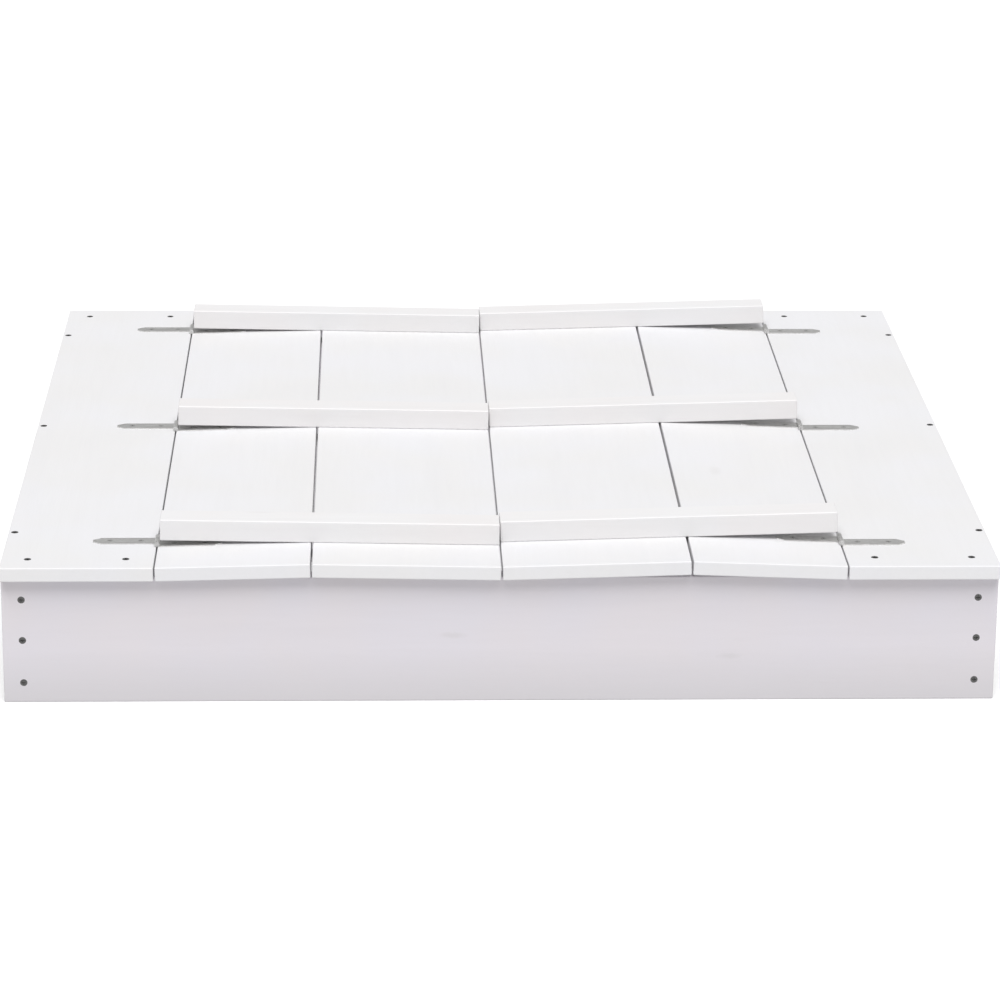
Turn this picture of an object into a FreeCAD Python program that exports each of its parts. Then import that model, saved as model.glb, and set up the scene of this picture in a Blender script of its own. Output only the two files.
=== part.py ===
import FreeCAD, Part
import math
import os
from collections import namedtuple

# Sandbox with a cover that folds out into two benches with backrests.
# Millimetres. Z is up, X runs along the length and Y from the front to the back.
# The origin is at the middle of the footprint, on the ground.

# ---- the box ----
box_length = 950.0
deck_width = 900.0
wall_height = 126.0
end_wall_thickness = 18.0
side_wall_thickness = 12.0
deck_overhang = 12.0
post_width = 28.0

# ---- the boards of the deck and the cover ----
board_thickness = 14.0
edge_round = 1.2
deck_board_width = 145.0
seat_panel_width = 147.0
board_gap = 1.2
centre_gap = 3.0

# ---- the battens across each backrest ----
batten_width = 30.0
batten_thickness = 21.0
batten_inset = 80.0
left_batten_shift = -3.0
right_batten_shift = 6.0
batten_end_setback = 2.0

# ---- how the closed cover lies ----
left_seat_lift = 3.4
right_seat_lift = 5.3
cover_rest_gap = 0.3

# ---- how the open cover rests ----
open_seat_gap = 0.3
open_batten_gap = 1.5

# ---- strap hinges ----
knuckle_radius = 2.5
leaf_thickness = 1.2
leaf_length = 62.0
leaf_width = 16.0
leaf_tip_length = 8.0
leaf_tip_width = 5.0
knuckle_length = 24.0
knuckle_end_gap = 0.4
leaf_to_knuckle_gap = 0.6
pin_radius = 1.25
pin_running_clearance = 0.05
pin_head_radius = 2.1
pin_head_height = 0.9
hinge_offset = -8.0
leaf_screw_places = (16.0, 46.0)

# ---- countersunk cross-head screws ----
Screw = namedtuple("Screw", "head_radius shank_radius length")
board_screw = Screw(3.5, 1.75, 38.0)
batten_screw = Screw(3.5, 1.75, 30.0)
leaf_screw = Screw(3.0, 1.5, 12.0)
head_land = 0.3
screw_tip_length = 4.0
recess_span = 4.0
recess_width = 0.9
recess_depth = 1.5
cut_margin = 1.0
screw_passing_clearance = 0.15
thread_bite = 0.2

# ---- where the screws go ----
deck_corner_screw_inset = 25.0
deck_inner_screw_inset = 118.0
deck_side_screw_inset = 105.0
deck_end_screw_inset = 26.0
end_screw_inset = 19.0
end_screw_heights = (20.0, 63.0, 104.0)
side_screw_raise = 10.0
batten_screw_inset = 28.0
batten_screw_past_leaf = 14.7

# ---- sizes that follow from those above ----
UP = FreeCAD.Vector(0, 0, 1)
DOWN = FreeCAD.Vector(0, 0, -1)
BACKWARD = FreeCAD.Vector(0, 1, 0)
ORIGIN = FreeCAD.Vector(0, 0, 0)
FOLD_AXIS = FreeCAD.Vector(0, -1, 0)

half_length = box_length / 2
half_width = deck_width / 2
deck_top = wall_height + board_thickness
end_face = half_width - deck_overhang
end_wall_inside = end_face - end_wall_thickness
side_wall_inside = half_length - side_wall_thickness

# The outer hinge line lies over the gap between the deck board and the seat panel.
outer_line = -(half_length - deck_board_width - board_gap / 2)
inner_line = outer_line + seat_panel_width + board_gap
outer_pivot = FreeCAD.Vector(outer_line, 0, deck_top + knuckle_radius)
inner_pivot_flat = FreeCAD.Vector(inner_line, 0, wall_height - knuckle_radius)
leaf_middle = (leaf_width - knuckle_length) / 2
outer_row = half_width - batten_inset
batten_rows = {"front": -outer_row, "middle": 0.0, "back": outer_row}


def turned(shape, pivot, degrees):
    """A copy of the shape, turned about a hinge line in the opening direction."""
    copy = shape.copy()
    copy.rotate(pivot, FOLD_AXIS, degrees)
    return copy


def turned_point(point, pivot, degrees):
    angle = math.radians(degrees)
    along = point.x - pivot.x
    above = point.z - pivot.z
    x = pivot.x + along * math.cos(angle) - above * math.sin(angle)
    z = pivot.z + along * math.sin(angle) + above * math.cos(angle)
    return FreeCAD.Vector(x, point.y, z)


# A closed seat panel is propped a little at its inner hinge line, more on the right half.
hinge_spacing = inner_line - outer_line


def seat_tilt(side):
    lift = left_seat_lift if side < 0 else right_seat_lift
    return math.degrees(math.asin(lift / hinge_spacing))


def inner_pivot(side):
    return turned_point(inner_pivot_flat, outer_pivot, seat_tilt(side))


def back_tilt(side):
    """The tilt that sets the back panel's free edge just above the end walls."""
    reach = -centre_gap / 2 - inner_line
    drop = wall_height + cover_rest_gap - inner_pivot(side).z
    arm = math.hypot(knuckle_radius, reach)
    return math.degrees(math.acos(drop / arm) - math.atan2(reach, knuckle_radius))


def open_seat_angle():
    """The seat's angle when its free edge lands on the deck board's outer edge."""
    drop = 2 * knuckle_radius - open_seat_gap
    reach = min(seat_panel_width, deck_board_width) + board_gap / 2 - edge_round
    return 180 + math.degrees(math.asin(drop / reach))


def open_back_angle(inner_pivot_open):
    """The back's angle when the batten tails come to rest beside the side wall."""
    tail = hinge_spacing - batten_end_setback
    face = board_thickness + knuckle_radius
    reach = -(half_length + open_batten_gap) - inner_pivot_open.x
    lean = math.asin(reach / math.hypot(tail, face)) + math.atan2(face, tail)
    return 90 + math.degrees(lean)


open_seat = open_seat_angle()
open_back = open_back_angle(turned_point(inner_pivot_flat, outer_pivot, open_seat))


def seat_fold_range(side):
    return open_seat - seat_tilt(side)


def back_fold_range(side):
    return open_back + back_tilt(side) - seat_fold_range(side)


# ---- boards ----

def board(x_low, x_high, y_low, y_high, z_low, z_high):
    """A sawn board with all its edges softened."""
    corner = FreeCAD.Vector(x_low, y_low, z_low)
    block = Part.makeBox(x_high - x_low, y_high - y_low, z_high - z_low, corner)
    return block.makeFillet(edge_round, block.Edges)


# ---- screws, made with the head's face at the origin and the tip pointing down ----

def screw(kind):
    sink = head_land + kind.head_radius - kind.shank_radius
    outline = [
        FreeCAD.Vector(0, 0, 0),
        FreeCAD.Vector(kind.head_radius, 0, 0),
        FreeCAD.Vector(kind.head_radius, 0, -head_land),
        FreeCAD.Vector(kind.shank_radius, 0, -sink),
        FreeCAD.Vector(kind.shank_radius, 0, screw_tip_length - kind.length),
        FreeCAD.Vector(0, 0, -kind.length),
        FreeCAD.Vector(0, 0, 0),
    ]
    solid = Part.Face(Part.makePolygon(outline)).revolve(ORIGIN, UP, 360)
    return solid.cut([recess_arm(0), recess_arm(90)])


def recess_arm(degrees):
    """One arm of the cross recess in a screw's head."""
    corner = FreeCAD.Vector(-recess_span / 2, -recess_width / 2, -recess_depth)
    arm = Part.makeBox(recess_span, recess_width, recess_depth + cut_margin, corner)
    arm.rotate(ORIGIN, UP, degrees)
    return arm


def head_cone(kind):
    """The sloping part of a countersink, which goes on into the board below a thin leaf."""
    sink = kind.head_radius - kind.shank_radius
    return Part.makeCone(kind.head_radius, kind.shank_radius, sink, FreeCAD.Vector(0, 0, -head_land), DOWN)


def passing_hole(kind):
    """Cuts a countersink and a loose hole through the piece that the screw holds down."""
    bottom = FreeCAD.Vector(0, 0, -head_land)
    mouth = Part.makeCylinder(kind.head_radius, head_land + cut_margin, bottom)
    hole = Part.makeCylinder(kind.shank_radius + screw_passing_clearance, kind.length, ORIGIN, DOWN)
    return mouth.fuse([head_cone(kind), hole])


def pilot_hole(kind):
    """Cuts the narrower hole that the thread bites into."""
    return Part.makeCylinder(kind.shank_radius - thread_bite, kind.length, ORIGIN, DOWN)


def aimed(tool, place, direction):
    """A copy of a screw or a hole tool with its head at the place, driven along the direction."""
    copy = tool.copy()
    copy.Placement = FreeCAD.Placement(place, FreeCAD.Rotation(DOWN, direction))
    return copy


def driven(tool, places):
    return [aimed(tool, place, direction) for place, direction in places]


# ---- where each set of screws goes: a list of (place of the head, direction driven) ----

def deck_screw_places(side):
    places = []
    for end in (-1, 1):
        y = end * (half_width - deck_end_screw_inset)
        for inset in (deck_corner_screw_inset, deck_inner_screw_inset):
            places.append((FreeCAD.Vector(side * (half_length - inset), y, deck_top), DOWN))
    for step in (-1, 0, 1):
        wall_middle = side * (half_length - side_wall_thickness / 2)
        y = step * (half_width - deck_side_screw_inset)
        places.append((FreeCAD.Vector(wall_middle, y, deck_top), DOWN))
    return places


def end_screw_places(side, end):
    x = side * (half_length - end_screw_inset)
    inward = FreeCAD.Vector(0, -end, 0)
    return [(FreeCAD.Vector(x, end * end_face, z), inward) for z in end_screw_heights]


def side_screw_places(side, end):
    y = end * (end_wall_inside - post_width / 2)
    inward = FreeCAD.Vector(-side, 0, 0)
    return [(FreeCAD.Vector(side * half_length, y, z + side_screw_raise), inward)
            for z in end_screw_heights]


def batten_screw_places(row):
    """Screws through the back panel from below; their heads lie in its underside."""
    near_free_edge = -centre_gap / 2 - batten_screw_inset
    past_leaf = inner_line + leaf_length + batten_screw_past_leaf
    return [(FreeCAD.Vector(x, row, wall_height), UP) for x in (near_free_edge, past_leaf)]


# ---- the fixed box ----

def end_wall(end):
    low, high = sorted((end * end_wall_inside, end * end_face))
    wall = board(-half_length, half_length, low, high, 0, wall_height)
    places = []
    pilots = []
    for side in (-1, 1):
        places += end_screw_places(side, end)
        pilots += [place for place in deck_screw_places(side) if place[0].y * end > end_wall_inside]
    return wall.cut(driven(passing_hole(board_screw), places) + driven(pilot_hole(board_screw), pilots))


def side_wall(side):
    low, high = sorted((side * side_wall_inside, side * half_length))
    wall = board(low, high, -end_wall_inside, end_wall_inside, 0, wall_height)
    places = side_screw_places(side, -1) + side_screw_places(side, 1)
    pilots = [place for place in deck_screw_places(side) if abs(place[0].y) < end_wall_inside]
    return wall.cut(driven(passing_hole(board_screw), places) + driven(pilot_hole(board_screw), pilots))


def corner_post(side, end):
    x_low, x_high = sorted((side * side_wall_inside, side * (side_wall_inside - post_width)))
    y_low, y_high = sorted((end * end_wall_inside, end * (end_wall_inside - post_width)))
    post = board(x_low, x_high, y_low, y_high, 0, wall_height)
    pilots = end_screw_places(side, end) + side_screw_places(side, end)
    return post.cut(driven(pilot_hole(board_screw), pilots))


# ---- strap hinges ----

def leaf():
    """One leaf, lying under the height of its pin, which runs along Y through the origin.

    The leaf points to +X, and its half of the knuckle is on the -Y side. Both leaves of a
    hinge are this same piece: one of them is turned half round."""
    knuckle_far = -knuckle_length / 2
    knuckle_near = -knuckle_end_gap / 2
    strap_start = knuckle_radius + leaf_to_knuckle_gap
    strap_near = knuckle_far + leaf_width
    tip_start = leaf_length - leaf_tip_length
    tip_far = leaf_middle - leaf_tip_width / 2
    tip_near = leaf_middle + leaf_tip_width / 2
    outline = [
        (0, knuckle_far),
        (tip_start, knuckle_far),
        (leaf_length, tip_far),
        (leaf_length, tip_near),
        (tip_start, strap_near),
        (strap_start, strap_near),
        (strap_start, knuckle_near),
        (0, knuckle_near),
        (0, knuckle_far),
    ]
    base = [FreeCAD.Vector(x, y, -knuckle_radius) for x, y in outline]
    strap = Part.Face(Part.makePolygon(base)).extrude(FreeCAD.Vector(0, 0, leaf_thickness))
    start = FreeCAD.Vector(0, knuckle_far, 0)
    knuckle = Part.makeCylinder(knuckle_radius, knuckle_near - knuckle_far, start, BACKWARD)
    bore = Part.makeCylinder(pin_radius + pin_running_clearance, knuckle_length, start, BACKWARD)
    shape = strap.fuse(knuckle).cut(bore).removeSplitter()
    return shape.cut(driven(passing_hole(leaf_screw), leaf_screw_spots()))


def leaf_screw_spots():
    """The screw places on a leaf that lies under its pin and points to +X."""
    height = leaf_thickness - knuckle_radius
    return [(FreeCAD.Vector(x, leaf_middle, height), DOWN) for x in leaf_screw_places]


def hinge_pin():
    """A headed pin along Y through the origin, with its head towards +Y."""
    half = (knuckle_length + knuckle_end_gap) / 2
    shank = Part.makeCylinder(pin_radius, 2 * half, FreeCAD.Vector(0, -half, 0), BACKWARD)
    head = Part.makeCylinder(pin_head_radius, pin_head_height, FreeCAD.Vector(0, half, 0), BACKWARD)
    rim = [edge for edge in head.Edges if edge.CenterOfMass.y > half + pin_head_height / 2]
    return shank.fuse(head.makeFillet(pin_head_height / 2, rim)).removeSplitter()


def at_hinge(shape, points_to_centre, upside_down, pivot, row):
    """Moves a shape made at a hinge's own origin to a hinge on the left half.

    The hinge is turned so that the leaf points to or from the centre, lies on the top or
    under the boards, and has its pin at the pivot, in the given row."""
    copy = shape.copy()
    if not points_to_centre:
        copy.rotate(ORIGIN, UP, 180)
    if upside_down:
        copy.rotate(ORIGIN, FreeCAD.Vector(1, 0, 0), 180)
    copy.translate(FreeCAD.Vector(pivot.x, row, pivot.z))
    return copy


def leaf_set(points_to_centre, upside_down, pivot, row):
    """A leaf, its screws and the cuts that they need in the board, all at their hinge."""
    spots = leaf_screw_spots()
    cuts = driven(pilot_hole(leaf_screw), spots) + driven(head_cone(leaf_screw), spots)
    place = (points_to_centre, upside_down, pivot, row)
    strap = at_hinge(leaf(), *place)
    screws = [at_hinge(shape, *place) for shape in driven(screw(leaf_screw), spots)]
    return strap, screws, [at_hinge(shape, *place) for shape in cuts]


# ---- one half of the cover, made on the left and turned half round for the right ----

def cover_half(side_name):
    """Every node of one half of the cover and of the deck board that it folds over."""
    side = -1 if side_name == "left" else 1
    nodes = {}
    batten_shift = left_batten_shift if side < 0 else right_batten_shift
    box_board = board(-half_length, -half_length + deck_board_width, -half_width, half_width,
                      wall_height, deck_top)
    seat_start = outer_line + board_gap / 2
    seat_panel = board(seat_start, seat_start + seat_panel_width, -half_width, half_width,
                       wall_height, deck_top)
    back_panel = board(inner_line + board_gap / 2, -centre_gap / 2, -half_width, half_width,
                       wall_height, deck_top)

    box_cuts, seat_cuts, back_cuts = [], [], []
    box_screws, seat_screws, back_screws, batten_screws = [], [], [], []
    outer_pins, inner_pins = [], []
    for row_name, row in batten_rows.items():
        # The right half is made on the left and turned round, so its rows are turned round too.
        batten_row = -side * (row + batten_shift)
        hinge_row = -side * (row + hinge_offset)

        batten = board(outer_line + batten_end_setback, -centre_gap / 2,
                       batten_row - batten_width / 2, batten_row + batten_width / 2,
                       deck_top, deck_top + batten_thickness)
        spots = batten_screw_places(batten_row)
        batten = batten.cut(driven(pilot_hole(batten_screw), spots))
        nodes[f"{side_name}_batten_{row_name}"] = ("back", batten)
        back_cuts += driven(passing_hole(batten_screw), spots)
        batten_screws += driven(screw(batten_screw), spots)

        strap, screws, cuts = leaf_set(False, False, outer_pivot, hinge_row)
        nodes[f"{side_name}_outer_hinge_{row_name}_box_leaf"] = ("box", strap)
        box_screws += screws
        box_cuts += cuts
        strap, screws, cuts = leaf_set(True, False, outer_pivot, hinge_row)
        nodes[f"{side_name}_outer_hinge_{row_name}_seat_leaf"] = ("seat", strap)
        seat_screws += screws
        seat_cuts += cuts
        strap, screws, cuts = leaf_set(False, True, inner_pivot_flat, hinge_row)
        nodes[f"{side_name}_inner_hinge_{row_name}_seat_leaf"] = ("seat", strap)
        seat_screws += screws
        seat_cuts += cuts
        strap, screws, cuts = leaf_set(True, True, inner_pivot_flat, hinge_row)
        nodes[f"{side_name}_inner_hinge_{row_name}_back_leaf"] = ("back", strap)
        back_screws += screws
        back_cuts += cuts
        # Turned so that the heads are at the back on both halves.
        outer_pins.append(at_hinge(hinge_pin(), side < 0, False, outer_pivot, hinge_row))
        inner_pins.append(at_hinge(hinge_pin(), side < 0, False, inner_pivot_flat, hinge_row))

    deck_spots = deck_screw_places(-1)
    box_cuts += driven(passing_hole(board_screw), deck_spots)
    nodes[f"{side_name}_deck_board"] = ("box", box_board.cut(box_cuts))
    nodes[f"{side_name}_seat_panel"] = ("seat", seat_panel.cut(seat_cuts))
    nodes[f"{side_name}_back_panel"] = ("back", back_panel.cut(back_cuts))
    nodes[f"{side_name}_outer_hinge_pins"] = ("box", Part.makeCompound(outer_pins))
    nodes[f"{side_name}_inner_hinge_pins"] = ("seat", Part.makeCompound(inner_pins))
    nodes[f"{side_name}_box_leaf_screws"] = ("box", Part.makeCompound(box_screws))
    nodes[f"{side_name}_seat_leaf_screws"] = ("seat", Part.makeCompound(seat_screws))
    nodes[f"{side_name}_back_leaf_screws"] = ("back", Part.makeCompound(back_screws))
    nodes[f"{side_name}_batten_screws"] = ("back", Part.makeCompound(batten_screws))
    return {name: laid_down(shape, part, side) for name, (part, shape) in nodes.items()}


def laid_down(shape, part, side):
    """Tilts a flat piece as the closed cover lies, and turns the right half round."""
    if part == "back":
        shape = turned(shape, inner_pivot_flat, -(seat_tilt(side) + back_tilt(side)))
    if part in ("seat", "back"):
        shape = turned(shape, outer_pivot, seat_tilt(side))
    if side > 0:
        shape.rotate(ORIGIN, UP, 180)
    return shape


# ---- all the nodes ----

def build():
    nodes = {}
    deck_spots, end_spots, side_spots = [], [], []
    for end, end_name in ((-1, "front"), (1, "back")):
        nodes[f"{end_name}_wall"] = end_wall(end)
    for side, side_name in ((-1, "left"), (1, "right")):
        nodes[f"{side_name}_wall"] = side_wall(side)
        deck_spots += deck_screw_places(side)
        for end, end_name in ((-1, "front"), (1, "back")):
            nodes[f"corner_post_{end_name}_{side_name}"] = corner_post(side, end)
            end_spots += end_screw_places(side, end)
            side_spots += side_screw_places(side, end)
        nodes.update(cover_half(side_name))
    nodes["deck_screws"] = Part.makeCompound(driven(screw(board_screw), deck_spots))
    nodes["end_wall_screws"] = Part.makeCompound(driven(screw(board_screw), end_spots))
    nodes["side_wall_screws"] = Part.makeCompound(driven(screw(board_screw), side_spots))
    return nodes


os.makedirs("parts", exist_ok=True)
parts = build()
for node, shape in parts.items():
    shape.exportStep(os.path.join("parts", node + ".step"))
    if not shape.isValid():
        print("not valid:", node)
print(len(parts), "nodes")
print(f"outer pivot x {outer_pivot.x:.4f} z {outer_pivot.z:.4f}")
for side_name, side in (("left", -1), ("right", 1)):
    pivot = inner_pivot(side)
    print(f"{side_name} inner pivot x {pivot.x:.4f} z {pivot.z:.4f}")
    print(f"{side_name} seat fold {seat_fold_range(side):.4f}, back fold {back_fold_range(side):.4f}")
    print(f"{side_name} seat tilt {seat_tilt(side):.4f}, back tilt {back_tilt(side):.4f}")
print(f"open back {open_back:.4f}")
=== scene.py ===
# %% [markdown]
# # A garden sandbox whose cover folds into two benches
#
# The real thing is a low box of white painted boards, most likely softwood. Its
# cover is six boards wide: one fixed deck board at each end, and between them
# two hinged pairs. We take it that each pair folds up into a seat and a
# backrest. Steel strap hinges and small countersunk screws hold it together.
#
# The imported model gives every part its exact size and place, so nothing has to
# be fitted here. We load it first, and keep its outer box.

# %% Load the frame
import math

import bpy
from mathutils import Matrix, Vector


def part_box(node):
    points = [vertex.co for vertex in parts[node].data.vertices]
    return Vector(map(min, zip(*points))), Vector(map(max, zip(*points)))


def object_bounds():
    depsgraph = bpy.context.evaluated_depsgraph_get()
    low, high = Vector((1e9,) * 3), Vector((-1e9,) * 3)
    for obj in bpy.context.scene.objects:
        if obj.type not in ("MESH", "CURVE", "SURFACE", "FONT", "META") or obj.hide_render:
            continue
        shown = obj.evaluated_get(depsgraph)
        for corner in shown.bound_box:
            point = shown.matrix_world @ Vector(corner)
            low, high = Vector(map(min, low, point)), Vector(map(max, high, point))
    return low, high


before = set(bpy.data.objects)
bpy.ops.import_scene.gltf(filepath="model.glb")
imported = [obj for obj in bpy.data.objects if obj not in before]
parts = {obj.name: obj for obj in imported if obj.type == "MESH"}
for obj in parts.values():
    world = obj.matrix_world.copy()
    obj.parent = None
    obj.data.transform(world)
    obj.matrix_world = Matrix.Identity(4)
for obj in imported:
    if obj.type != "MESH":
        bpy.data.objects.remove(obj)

cad_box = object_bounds()
print("parts:", len(parts), "box:", [tuple(round(v, 4) for v in corner) for corner in cad_box])

# %% [markdown]
# ## Camera
#
# A product shot like this is taken from a few metres away with a long lens, so
# that the boards stay nearly parallel. A camera in Blender looks down its own
# -Z axis, with +Y up. We could turn it with three Euler angles, but it is
# easier to read if we work out the three directions ourselves and put them in a
# matrix: where it looks, what is right and what is up.

# %% Camera
def camera_axes(turn, down, lean):
    looks = Vector((math.sin(turn) * math.cos(down), math.cos(turn) * math.cos(down), -math.sin(down)))
    level_right = Vector((math.cos(turn), -math.sin(turn), 0.0))
    level_up = level_right.cross(looks)
    right = level_right * math.cos(lean) + level_up * math.sin(lean)
    up = level_up * math.cos(lean) - level_right * math.sin(lean)
    return right, up, -looks


camera_place = (-0.1208, -3.8583, 1.3472)
camera_turn = math.radians(1.983)
camera_down = math.radians(18.485)
camera_lean = math.radians(0.521)

lens = bpy.data.cameras.new("long_lens")
lens.sensor_width = 36.0
lens.lens = 137.6
lens.clip_end = 60.0
camera = bpy.data.objects.new("camera", lens)
bpy.context.scene.collection.objects.link(camera)
turned = Matrix(camera_axes(camera_turn, camera_down, camera_lean)).transposed().to_4x4()
camera.matrix_world = Matrix.Translation(camera_place) @ turned
bpy.context.scene.camera = camera
box_middle = (cad_box[0] + cad_box[1]) / 2
print("camera is", round((camera.location - box_middle).length, 3), "m from the middle of the box")

# %% [markdown]
# ## Floor and light
#
# White furniture on white paper is lit by a big soft tent: light comes from
# everywhere, a little more of it from above and in front. We could build the
# tent from lamps, but a white world is even everywhere and needs one number for
# the sky and one for what the ground sends back up. One very wide sun in front
# adds the soft shade that the overhanging deck throws on the wall below it.
#
# The Standard view keeps white paint white, where the default view would turn
# it grey.

# %% Floor
def plain_floor(reach):
    mesh = bpy.data.meshes.new("floor")
    corners = [(-reach, -reach, 0), (reach, -reach, 0), (reach, reach, 0), (-reach, reach, 0)]
    mesh.from_pydata(corners, [], [(0, 1, 2, 3)])
    floor = bpy.data.objects.new("floor", mesh)
    bpy.context.scene.collection.objects.link(floor)
    paper = bpy.data.materials.new("white_paper")
    paper.use_nodes = True
    skin = paper.node_tree.nodes["Principled BSDF"]
    skin.inputs["Base Color"].default_value = (0.93, 0.93, 0.93, 1)
    skin.inputs["Roughness"].default_value = 1.0
    skin.inputs["Specular IOR Level"].default_value = 0.0
    mesh.materials.append(paper)
    return floor


floor_reach = 18.0
floor = plain_floor(floor_reach)
# The world's lower half stands in for the light that the paper sends back up.
floor.visible_diffuse = False
bpy.context.scene.view_settings.view_transform = "Standard"
print("floor laid")

# %% Light
def soft_tent(above, below):
    tent = bpy.data.worlds.new("white_tent")
    tent.use_nodes = True
    tree = tent.node_tree
    way = tree.nodes.new("ShaderNodeTexCoord")
    split = tree.nodes.new("ShaderNodeSeparateXYZ")
    fade = tree.nodes.new("ShaderNodeMapRange")
    tree.links.new(way.outputs["Generated"], split.inputs["Vector"])
    tree.links.new(split.outputs["Z"], fade.inputs["Value"])
    fade.inputs["From Min"].default_value = -0.2
    fade.inputs["From Max"].default_value = 0.1
    fade.inputs["To Min"].default_value = below
    fade.inputs["To Max"].default_value = above
    sky = tree.nodes["Background"]
    sky.inputs["Color"].default_value = (1.0, 0.998, 1.0, 1)
    tree.links.new(fade.outputs["Result"], sky.inputs["Strength"])
    return tent


def wide_sun(height, width, strength):
    light = bpy.data.lights.new("wide_sun", "SUN")
    light.energy = strength
    light.angle = math.radians(width)
    lamp = bpy.data.objects.new("wide_sun", light)
    bpy.context.scene.collection.objects.link(lamp)
    lamp.rotation_euler = (math.radians(90 - height), 0, 0)
    return lamp


sky_strength = 0.48
paper_strength = 0.94
bpy.context.scene.world = soft_tent(sky_strength, paper_strength)
wide_sun(height=63.0, width=44.0, strength=2.69)
print("lights on")

# %% [markdown]
# ## White paint on wood
#
# White paint on softwood leaves a satin skin. It is never one flat white: the
# board under it shows through as long faint grain, the paint differs a little
# in tint from place to place, and a knot bleeds through as a pale grey spot.
# Most of that is too faint to see here, so its strength is a guess.
#
# An image of painted wood would stretch on some boards and repeat on others.
# Noise worked out from the part's own coordinates does neither, and it can be
# stretched along the grain, whichever way each board runs.
#
# The long walls get a slightly pinker white than the other boards, and a greyer
# one: that grey is painted shade. Close to the ground it turns greyer again, also
# painted shade.

# %% Small node helpers
def add_node(tree, kind, **inputs):
    node = tree.nodes.new(kind)
    for name, value in inputs.items():
        node.inputs[name.replace("_", " ")].default_value = value
    return node


def ramp(tree, source, low, high, low_value, high_value):
    node = tree.nodes.new("ShaderNodeMapRange")
    tree.links.new(source, node.inputs["Value"])
    node.inputs["From Min"].default_value = low
    node.inputs["From Max"].default_value = high
    node.inputs["To Min"].default_value = low_value
    node.inputs["To Max"].default_value = high_value
    return node.outputs["Result"]


def blend_colours(tree, share, first, second):
    node = tree.nodes.new("ShaderNodeMix")
    node.data_type = "RGBA"
    for socket, value in ((node.inputs[0], share), (node.inputs[6], first), (node.inputs[7], second)):
        if hasattr(value, "is_output"):
            tree.links.new(value, socket)
        else:
            socket.default_value = value
    return node.outputs[2]


def noise(tree, where, size, detail=2.0, rough=0.5):
    node = add_node(tree, "ShaderNodeTexNoise", Scale=1.0 / size, Detail=detail, Roughness=rough)
    tree.links.new(where, node.inputs["Vector"])
    return node.outputs["Fac"]


def stretched(tree, where, shape, shift=(0, 0, 0)):
    node = tree.nodes.new("ShaderNodeMapping")
    tree.links.new(where, node.inputs["Vector"])
    node.inputs["Scale"].default_value = shape
    node.inputs["Location"].default_value = shift
    return node.outputs["Vector"]


def bump(tree, height, depth, under=None):
    node = add_node(tree, "ShaderNodeBump", Strength=1.0, Distance=depth)
    tree.links.new(height, node.inputs["Height"])
    if under is not None:
        tree.links.new(under, node.inputs["Normal"])
    return node.outputs["Normal"]


print("helpers ready")

# %% [markdown]
# The grain is one noise stretched along the board, so that it reads as long
# lines. Most knots come from Voronoi cells: a cell has one point in it, and only
# where a cell's own random colour is high do we let that point show. That puts
# knots anywhere. The two faint ones on the front wall have places of their own,
# so each is made from the distance to its middle, squeezed so that the spot lies
# flat along the board.

# %% One knot at a known place
wall_knot_grey = (0.600, 0.578, 0.600, 1)


def knot_spot(tree, place, centre, paint):
    flat = (0.5, 1.0, 2.0)
    away = tree.nodes.new("ShaderNodeVectorMath")
    away.operation = "DISTANCE"
    tree.links.new(stretched(tree, place, flat), away.inputs[0])
    away.inputs[1].default_value = tuple(c * s for c, s in zip(centre, flat))
    rim = tree.nodes.new("ShaderNodeMath")
    rim.operation = "MULTIPLY_ADD"
    tree.links.new(noise(tree, place, 0.006), rim.inputs[0])
    rim.inputs[1].default_value = 0.006
    tree.links.new(away.outputs["Value"], rim.inputs[2])
    spot = ramp(tree, rim.outputs[0], 0.0055, 0.0105, 0.55, 0)
    return blend_colours(tree, spot, paint, wall_knot_grey)


print("knots ready")

# %% Painted wood
patch_size = 0.11
ring_width = 0.022
grain_width = 0.0055
fibre_width = 0.0012
swell_size = 0.16
foot_shade_height = 0.055
knot_cells_per_metre = 9.0

board_warm = (0.752, 0.746, 0.749, 1)
board_cool = (0.748, 0.746, 0.764, 1)
knot_grey = (0.640, 0.620, 0.625, 1)


def darker(colour, share):
    return tuple(v * share for v in colour[:3]) + (1,)


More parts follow.
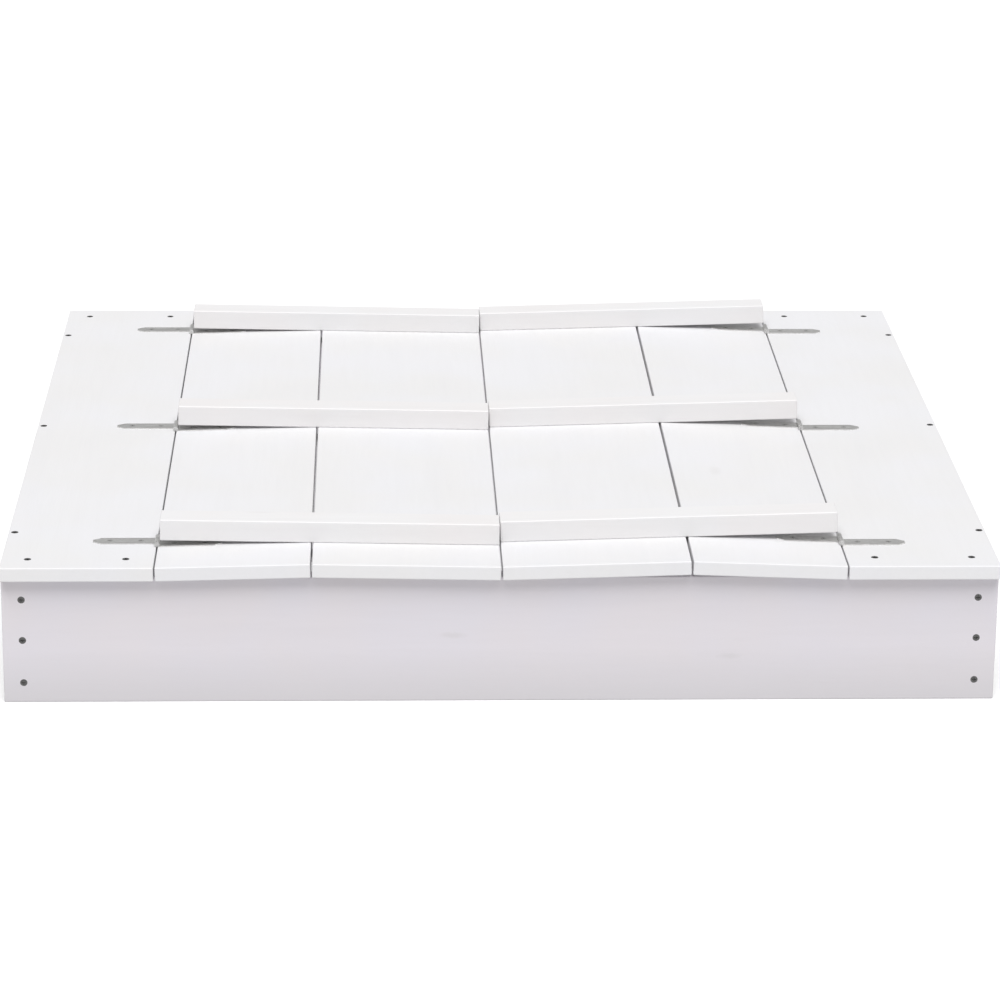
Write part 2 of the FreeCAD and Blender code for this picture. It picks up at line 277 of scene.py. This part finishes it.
def painted_wood(name, along, shift, warm=board_warm, cool=board_cool, foot_shade=None, knots=()):
    paint = bpy.data.materials.new(name)
    paint.use_nodes = True
    tree = paint.node_tree
    skin = tree.nodes["Principled BSDF"]
    place = tree.nodes.new("ShaderNodeTexCoord").outputs["Object"]
    shape = {"X": (0.07, 1, 1), "Y": (1, 0.07, 1), "Z": (1, 1, 0.07)}[along]
    board = stretched(tree, place, shape, shift)

    patches = noise(tree, stretched(tree, place, (1, 1, 1), shift), patch_size, detail=2.5)
    grain = noise(tree, board, grain_width, detail=4.0, rough=0.6)
    fine = noise(tree, board, fibre_width, detail=2.0)
    rings = noise(tree, board, ring_width, detail=1.0)

    white = blend_colours(tree, ramp(tree, patches, 0.38, 0.62, 0, 1), warm, cool)
    lined = blend_colours(tree, ramp(tree, grain, 0.40, 0.80, 0, 0.22), white, darker(warm, 0.93))
    banded = blend_colours(tree, ramp(tree, rings, 0.52, 0.75, 0, 0.20), lined, darker(cool, 0.95))
    # Painted shade: the paint turns greyer towards the ground, over the lowest few centimetres.
    if foot_shade is not None:
        height = tree.nodes.new("ShaderNodeSeparateXYZ")
        tree.links.new(place, height.inputs["Vector"])
        foot_shade_share = ramp(tree, height.outputs["Z"], foot_shade_height, 0.0, 0, 1)
        banded = blend_colours(tree, foot_shade_share, banded, foot_shade)

    for spot_place in knots:
        banded = knot_spot(tree, place, spot_place, banded)

    cells = tree.nodes.new("ShaderNodeTexVoronoi")
    cells.inputs["Scale"].default_value = knot_cells_per_metre
    oval = tuple(0.45 if share < 1 else 1 for share in shape)
    tree.links.new(stretched(tree, place, oval, shift), cells.inputs["Vector"])
    chosen = tree.nodes.new("ShaderNodeSeparateColor")
    tree.links.new(cells.outputs["Color"], chosen.inputs["Color"])
    spot = ramp(tree, cells.outputs["Distance"], 0.03, 0.085, 1, 0)
    shows = ramp(tree, chosen.outputs["Red"], 0.72, 0.80, 0, 0.55)
    knot = tree.nodes.new("ShaderNodeMath")
    knot.operation = "MULTIPLY"
    tree.links.new(spot, knot.inputs[0])
    tree.links.new(shows, knot.inputs[1])
    tree.links.new(blend_colours(tree, knot.outputs[0], banded, knot_grey), skin.inputs["Base Color"])

    tree.links.new(ramp(tree, patches, 0.30, 0.70, 0.44, 0.58), skin.inputs["Roughness"])
    uneven = noise(tree, stretched(tree, place, (1, 1, 1), shift), swell_size, detail=1.0)
    swell = bump(tree, uneven, 0.0016)
    raised = bump(tree, grain, 0.00010, swell)
    tree.links.new(bump(tree, fine, 0.00003, raised), skin.inputs["Normal"])
    return paint


front_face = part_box("front_wall")[0][1]
wall_knots = ((0.219, front_face, 0.045), (-0.046, front_face, 0.067))
paints = {
    "deck": painted_wood("white_paint_deck", "Y", (0.0, 0.0, 0.0)),
    "cover": painted_wood("white_paint_cover", "Y", (3.1, 1.7, 0.4)),
    "batten": painted_wood("white_paint_batten", "X", (1.3, 5.2, 2.6), warm=(0.765, 0.748, 0.748, 1),
                           cool=(0.760, 0.756, 0.762, 1)),
    # Painted shade: the long walls' whites are greyer than the other boards', and greyer still at the
    # foot.
    "long_wall": painted_wood("white_paint_long_wall_with_painted_shade", "X", (7.7, 2.1, 4.4), warm=(0.690, 0.657, 0.688, 1),
                              cool=(0.684, 0.659, 0.704, 1), foot_shade=(0.588, 0.568, 0.591, 1),
                              knots=wall_knots),
    "side_wall": painted_wood("white_paint_side_wall", "Y", (4.9, 8.3, 1.8)),
    "post": painted_wood("white_paint_post", "Z", (2.2, 6.6, 9.1)),
}
print("paints:", sorted(paints))

# %% [markdown]
# ## Light metal on the hinges, darker metal on the screws
#
# The hinges look like thin zinc plated strip: an even light grey with darker
# streaks. We add a faint crystal pattern, as zinc often has. The screws in the
# boards look darker. Both are metals, so their colour is in what they reflect: a
# metallic shader with a grey base, whose roughness changes over small cells and
# fine scratches.

# %% Metals
streak_width = 0.0045
scratch_width = 0.0009


def metal(name, grey, cell, dull, scratch):
    steel = bpy.data.materials.new(name)
    steel.use_nodes = True
    tree = steel.node_tree
    skin = tree.nodes["Principled BSDF"]
    skin.inputs["Metallic"].default_value = 1.0
    place = tree.nodes.new("ShaderNodeTexCoord").outputs["Object"]
    cells = tree.nodes.new("ShaderNodeTexVoronoi")
    cells.inputs["Scale"].default_value = 1.0 / cell
    tree.links.new(place, cells.inputs["Vector"])
    tone = tree.nodes.new("ShaderNodeSeparateColor")
    tree.links.new(cells.outputs["Color"], tone.inputs["Color"])
    low = (grey * 0.94, grey * 0.935, grey * 0.920, 1)
    high = (grey * 1.06, grey * 1.06, grey * 1.045, 1)
    crystal = blend_colours(tree, tone.outputs["Red"], low, high)
    rolled = noise(tree, stretched(tree, place, (0.04, 1, 1)), streak_width, detail=1.0)
    streaked = blend_colours(tree, ramp(tree, rolled, 0.42, 0.62, 0, 0.55), crystal, darker(low, 0.80))
    marks = noise(tree, stretched(tree, place, (0.06, 1, 1)), scratch_width, detail=3.0)
    marked = blend_colours(tree, ramp(tree, marks, 0.55, 0.75, 0, 0.30), streaked, low)
    tree.links.new(marked, skin.inputs["Base Color"])
    roughness = ramp(tree, tone.outputs["Green"], 0, 1, dull - 0.06, dull + 0.08)
    tree.links.new(roughness, skin.inputs["Roughness"])
    tree.links.new(bump(tree, marks, scratch), skin.inputs["Normal"])
    return steel


hinge_zinc = metal("hinge_zinc", grey=0.77, cell=0.0028, dull=0.42, scratch=0.00002)
hinge_screw_zinc = metal("hinge_screw_zinc", grey=0.66, cell=0.0015, dull=0.40, scratch=0.00001)
screw_dark_steel = metal("screw_dark_steel", grey=0.13, cell=0.0012, dull=0.38, scratch=0.00001)
print("metals:", hinge_zinc.name, screw_dark_steel.name)

# %% [markdown]
# ## Which part gets which finish
#
# Every part's name says what it is, so the names decide the finish. Screws and
# pins come first, because their names also hold the name of what they fasten.

# %% Finish the parts
def finish_for(name):
    if name.endswith("_leaf_screws"):
        return hinge_screw_zinc
    if name.endswith("_screws"):
        return screw_dark_steel
    if "_hinge_" in name:
        return hinge_zinc
    if "_batten_" in name:
        return paints["batten"]
    if name.startswith("corner_post"):
        return paints["post"]
    if name in ("front_wall", "back_wall"):
        return paints["long_wall"]
    if name in ("left_wall", "right_wall"):
        return paints["side_wall"]
    if name.endswith("_deck_board"):
        return paints["deck"]
    return paints["cover"]


for name, part in parts.items():
    for place in part.material_slots:
        place.material = finish_for(name)
print("finished", len(parts), "parts")
